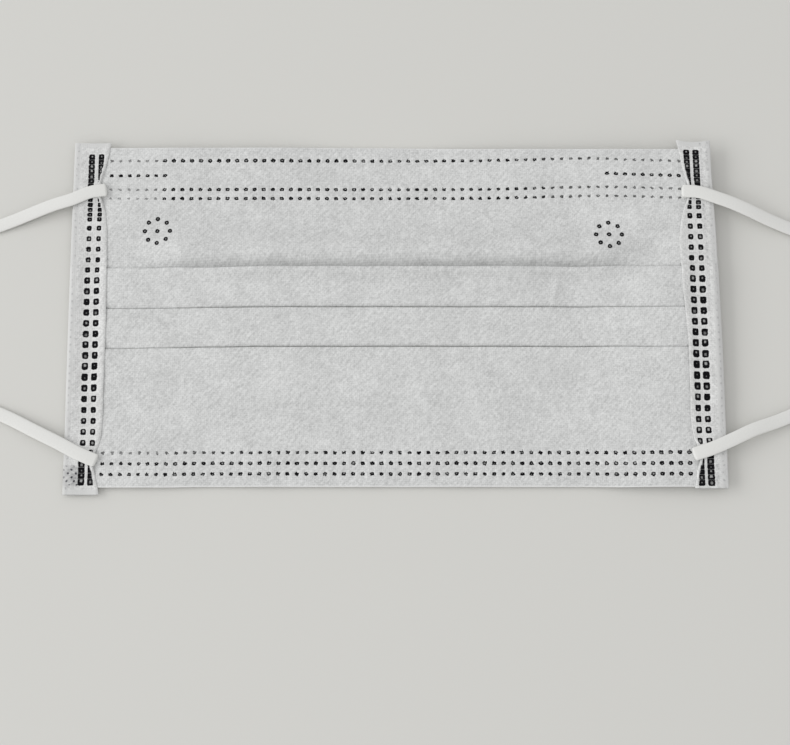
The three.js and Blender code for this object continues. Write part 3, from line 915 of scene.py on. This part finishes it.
def flowing(points, step):
    """A smooth curve through the points, sampled about a step apart. Between two points it is a
    cubic whose end slopes are the mean of the two chords there, each weighted by the other's
    length."""
    chords = np.diff(points, axis=0)
    lengths = np.linalg.norm(chords, axis=1)[:, None]
    slope = chords / lengths
    inner = (slope[:-1] * lengths[1:] + slope[1:] * lengths[:-1]) / (lengths[1:] + lengths[:-1])
    slopes = np.concatenate([slope[:1], inner, slope[-1:]])
    pieces = []
    for i, length in enumerate(lengths[:, 0]):
        handles = points[i] + slopes[i] * length / 3, points[i + 1] - slopes[i + 1] * length / 3
        pieces.append(curve(points[i], *handles, points[i + 1], max(int(round(length / step)), 1)))
    return np.concatenate(pieces + [points[-1:]])


def squarer(wave, power):
    """A sine or cosine with its size raised to a power below 1, which squares a circle off."""
    return np.sign(wave) * np.abs(wave) ** power


def loop_end(side, turn):
    """One end of a loop, from the welded tail's end: along under the strip, half round the turn,
    which is a little squarer than a circle, and back outwards on top of the strip. Returns its
    points (outwards, y, z), the band's thickness and its share of the full width at each, how
    many come before the fold's tip, and the unit vector outwards."""
    out, turn_y, lean = turn
    heading = np.array([math.cos(math.radians(lean)), math.sin(math.radians(lean))])
    held = side_height(np.array(out + 2), np.array(turn_y))
    cloth_top = side_lift(side, turn_y) + STRIP + TOUCH + held
    pressed = TAIL_PRESSED - TOUCH
    tail_level = cloth_top + TOUCH + pressed / 2
    run_level = cloth_top + TOUCH + TAIL_PRESSED + STRIP + TOUCH + BAND_CREASED / 2
    radius = (run_level - tail_level) / 2
    reach = radius + BAND_CREASED / 2
    tail = np.linspace(TAIL_END, reach, 7)[:-1]
    angle = np.radians(np.linspace(-90, -270, 2 * TIP + 1))
    runs = np.linspace(reach, reach + 3, 4)[1:]
    turn_out, turn_up = squarer(np.cos(angle), 0.8), squarer(np.sin(angle), 0.8)
    turn_thick = np.linspace(pressed, BAND_CREASED, len(angle))
    bent = np.cos(np.linspace(-np.pi / 2, np.pi / 2, len(angle))) ** 4
    swollen = (BAND_FREE - BAND_CREASED) * ease(np.array([0.33, 0.67, 1]))
    turn_level = tail_level + radius * (1 + turn_up)
    along = np.concatenate([tail, reach + radius * turn_out, runs])
    level = np.concatenate([0 * tail + tail_level, turn_level, run_level + swollen / 2])
    thick = np.concatenate([0 * tail + pressed, turn_thick, BAND_CREASED + swollen])
    narrow = np.concatenate([0 * tail + 1, 1 - CORNER * bent, 0 * runs + 1])
    place = np.array([out, turn_y]) + along[:, None] * heading
    return np.column_stack([place, level]), thick, narrow, len(tail) + TIP, heading


def loop_mesh(side, name):
    """One loop: a rounded flat section carried along its line. The section's broad side stays
    level, and square to the line or, at the ends, to the direction in which the end leaves.
    Returns the loop and its middle line from fold to fold."""
    nose, nose_thick, nose_narrow, nose_tip, nose_heading = loop_end(side, TURNS[side]["nose"])
    chin, chin_thick, chin_narrow, chin_tip, chin_heading = loop_end(side, TURNS[side]["chin"])
    floor_level = BAND_FREE / 2 + FLOOR_TOUCH
    route = np.array(ROUTES[side])
    top = np.linspace(nose[-1, 2], chin[-1, 2], len(route))
    height = (route[:, 2] - REST_LEVEL) / (RUN_LEVEL - REST_LEVEL)
    route[:, 2] = floor_level + height * (top - floor_level)
    free = flowing(np.concatenate([nose[-3:], route, chin[:-4:-1]]), STATION)[3:-3]
    line_points = np.concatenate([nose, free, chin[::-1]])
    thick = np.concatenate([nose_thick, np.full(len(free), BAND_FREE), chin_thick[::-1]])
    narrow = np.concatenate([nose_narrow, np.ones(len(free)), chin_narrow[::-1]])

    tangent = unit(np.gradient(line_points, axis=0))
    across = np.stack([-tangent[:, 1], tangent[:, 0], 0 * thick], 1)
    across[:len(nose)] = [-nose_heading[1], nose_heading[0], 0]
    across[-len(chin):] = [chin_heading[1], -chin_heading[0], 0]
    across = unit(across)
    up = np.cross(tangent, across)

    angle = np.linspace(0, 2 * np.pi, ROUND, endpoint=False)
    wide = squarer(np.cos(angle), 0.72) * BAND_WIDTH / 2
    high = squarer(np.sin(angle), 0.8) / 2
    ring = (line_points[:, None] + (narrow[:, None] * wide)[..., None] * across[:, None]
            + (high * thick[:, None])[..., None] * up[:, None])
    rows, columns = len(line_points), len(angle)
    corner = np.arange(rows * columns).reshape(rows, columns)
    after = np.roll(corner, -1, 1)
    faces = np.stack([corner[:-1], after[:-1], after[1:], corner[1:]], -1)
    faces = faces.reshape(-1, 4).tolist() + [corner[0][::-1].tolist(), corner[-1].tolist()]

    travel, around = travelled(line_points), travelled(ring[len(nose) - 2])
    band = np.stack(np.broadcast_arrays(around, travel[:, None]), -1).reshape(-1, 2)
    points = ring.reshape(-1, 3) * (side, 1, 1)
    thing = fill_mesh("elastic_" + name, points, [one[::side] for one in faces], maps={"cloth": band})
    centre = line_points[nose_tip:rows - chin_tip] * (side, 1, 1)
    return thing, centre


LOOP_TONES = (0.665, 0.665, 0.646), (0.735, 0.735, 0.714)   # in the dark and the pale of its fuzz
loop_finish = Finish("elastic_yarn", 0.75, 0.2)
fuzz = loop_finish.noise(loop_finish.map("cloth"), 0.5, 2, 0.6)
loop_finish.set("Base Color", loop_finish.mix(fuzz + 0.5, *LOOP_TONES))
loop_finish.bump(fuzz, 0.3, 0.0001)

for side, name in ((-1, "left"), (1, "right")):
    elastic, centre = loop_mesh(side, name)
    elastic.data.materials.append(loop_finish.material)
    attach(elastic, "root")
    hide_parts("ear_loop_" + name)
    loop_length = travelled(centre)[-1] * MM
    centre[0] * MM
    centre * MM

# ---- floor, light and camera ----------------------------------------------------------------------
# A plain pale table top lies under the mask. A broad low lamp stands to the left, a small one hangs
# above, and a pale room fills the shadows. The camera looks down steeply from the chin side.

TABLE_HALF = 1.5                # in metres, as everything below
TABLE_TONE = (0.622, 0.618, 0.591)
ROOM_STRENGTH = 0.685
EYE = (0.0002, -0.1213, 0.4326)     # where the camera stands
EYE_TILT = 13.71                # how far it is tilted from straight down, in degrees

# Each lamp's name, place, width and height, and power in watts. Both face the mask's middle.
LAMPS = [
    ("side_lamp", (-1.9, 0, 1.0), (2.2, 1.1), 27.4),
    ("top_lamp", (0, -0.3, 1.5), (0.7, 0.7), 2.3),
]

floor_mesh = bpy.data.meshes.new("floor")
corners = [(x * TABLE_HALF, y * TABLE_HALF, 0) for x, y in ((-1, -1), (1, -1), (1, 1), (-1, 1))]
floor_mesh.from_pydata(corners, [], [(0, 1, 2, 3)])
floor = new_object("floor", floor_mesh)
floor_finish = Finish("table_top", 0.9, 0.2)
floor_finish.set("Base Color", TABLE_TONE)
floor_mesh.materials.append(floor_finish.material)

world = bpy.data.worlds.new("room")
bpy.context.scene.world = world
world.use_nodes = True
background = world.node_tree.nodes["Background"]
background.inputs["Color"].default_value = (1, 1, 1, 1)
background.inputs["Strength"].default_value = ROOM_STRENGTH

for name, place, size, watts in LAMPS:
    lamp_light = bpy.data.lights.new(name, "AREA")
    lamp_light.shape = "RECTANGLE"
    lamp_light.size, lamp_light.size_y = size
    lamp_light.energy = watts
    lamp = new_object(name, lamp_light)
    lamp.location = place
    lamp.rotation_euler = (-lamp.location).to_track_quat("-Z", "Y").to_euler()

lens = bpy.data.cameras.new("camera")
lens.lens, lens.sensor_width = 75.6, 36
lens.clip_start, lens.clip_end = 0.02, 20
camera = new_object("camera", lens)
camera.location = EYE
camera.rotation_euler = (math.radians(EYE_TILT), 0, 0)
bpy.context.scene.camera = camera
bpy.context.scene.view_settings.view_transform = "Standard"
